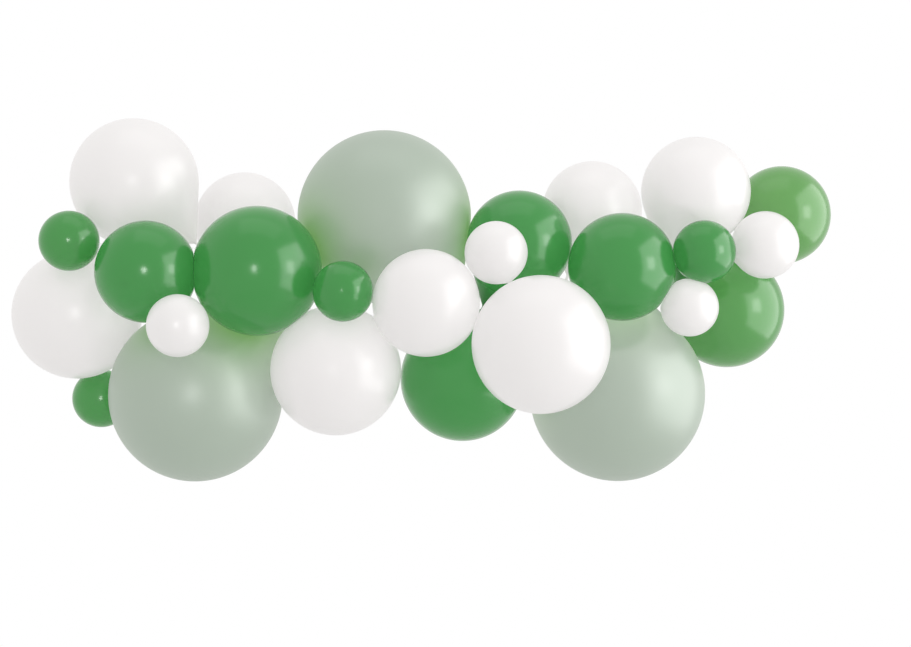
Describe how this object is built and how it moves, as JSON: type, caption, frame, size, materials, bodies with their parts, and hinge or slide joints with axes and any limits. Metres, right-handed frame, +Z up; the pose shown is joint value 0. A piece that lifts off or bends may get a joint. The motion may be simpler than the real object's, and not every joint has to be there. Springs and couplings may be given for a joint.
{
  "type": "balloon garland",
  "caption": "Organic garland of round latex balloons in pearl white, green and sage, tied and glued along a clear perforated strip that is hung by its middle and both ends.",
  "frame": {"origin": "on the back face of the strip, half way between two holes near the middle of the garland, where it is hung", "axes": "+X along the garland to the viewer's right, +Y to the back (the wall side), +Z up"},
  "size_m": [1.6438, 0.5417, 0.7205],
  "materials": {
    "clear_strip": "clear",
    "latex_white": "pearl",
    "latex_green": "glossy",
    "latex_sage": "satin"
  },
  "bodies": {
    "root": {"decorating_strip": "clear_strip", "white_balloon_01": "latex_white", "white_balloon_02": "latex_white", "white_balloon_03": "latex_white", "white_balloon_04": "latex_white", "white_balloon_05": "latex_white", "white_balloon_06": "latex_white", "white_balloon_07": "latex_white", "white_balloon_08": "latex_white", "white_balloon_09": "latex_white", "white_balloon_10": "latex_white", "white_balloon_11": "latex_white", "white_balloon_12": "latex_white", "green_balloon_01": "latex_green", "green_balloon_02": "latex_green", "green_balloon_03": "latex_green", "green_balloon_04": "latex_green", "green_balloon_05": "latex_green", "green_balloon_06": "latex_green", "green_balloon_07": "latex_green", "green_balloon_08": "latex_green", "green_balloon_09": "latex_green", "green_balloon_10": "latex_green", "green_balloon_11": "latex_green", "sage_balloon_01": "latex_sage", "sage_balloon_02": "latex_sage", "sage_balloon_03": "latex_sage"}
  },
  "joints": []
}
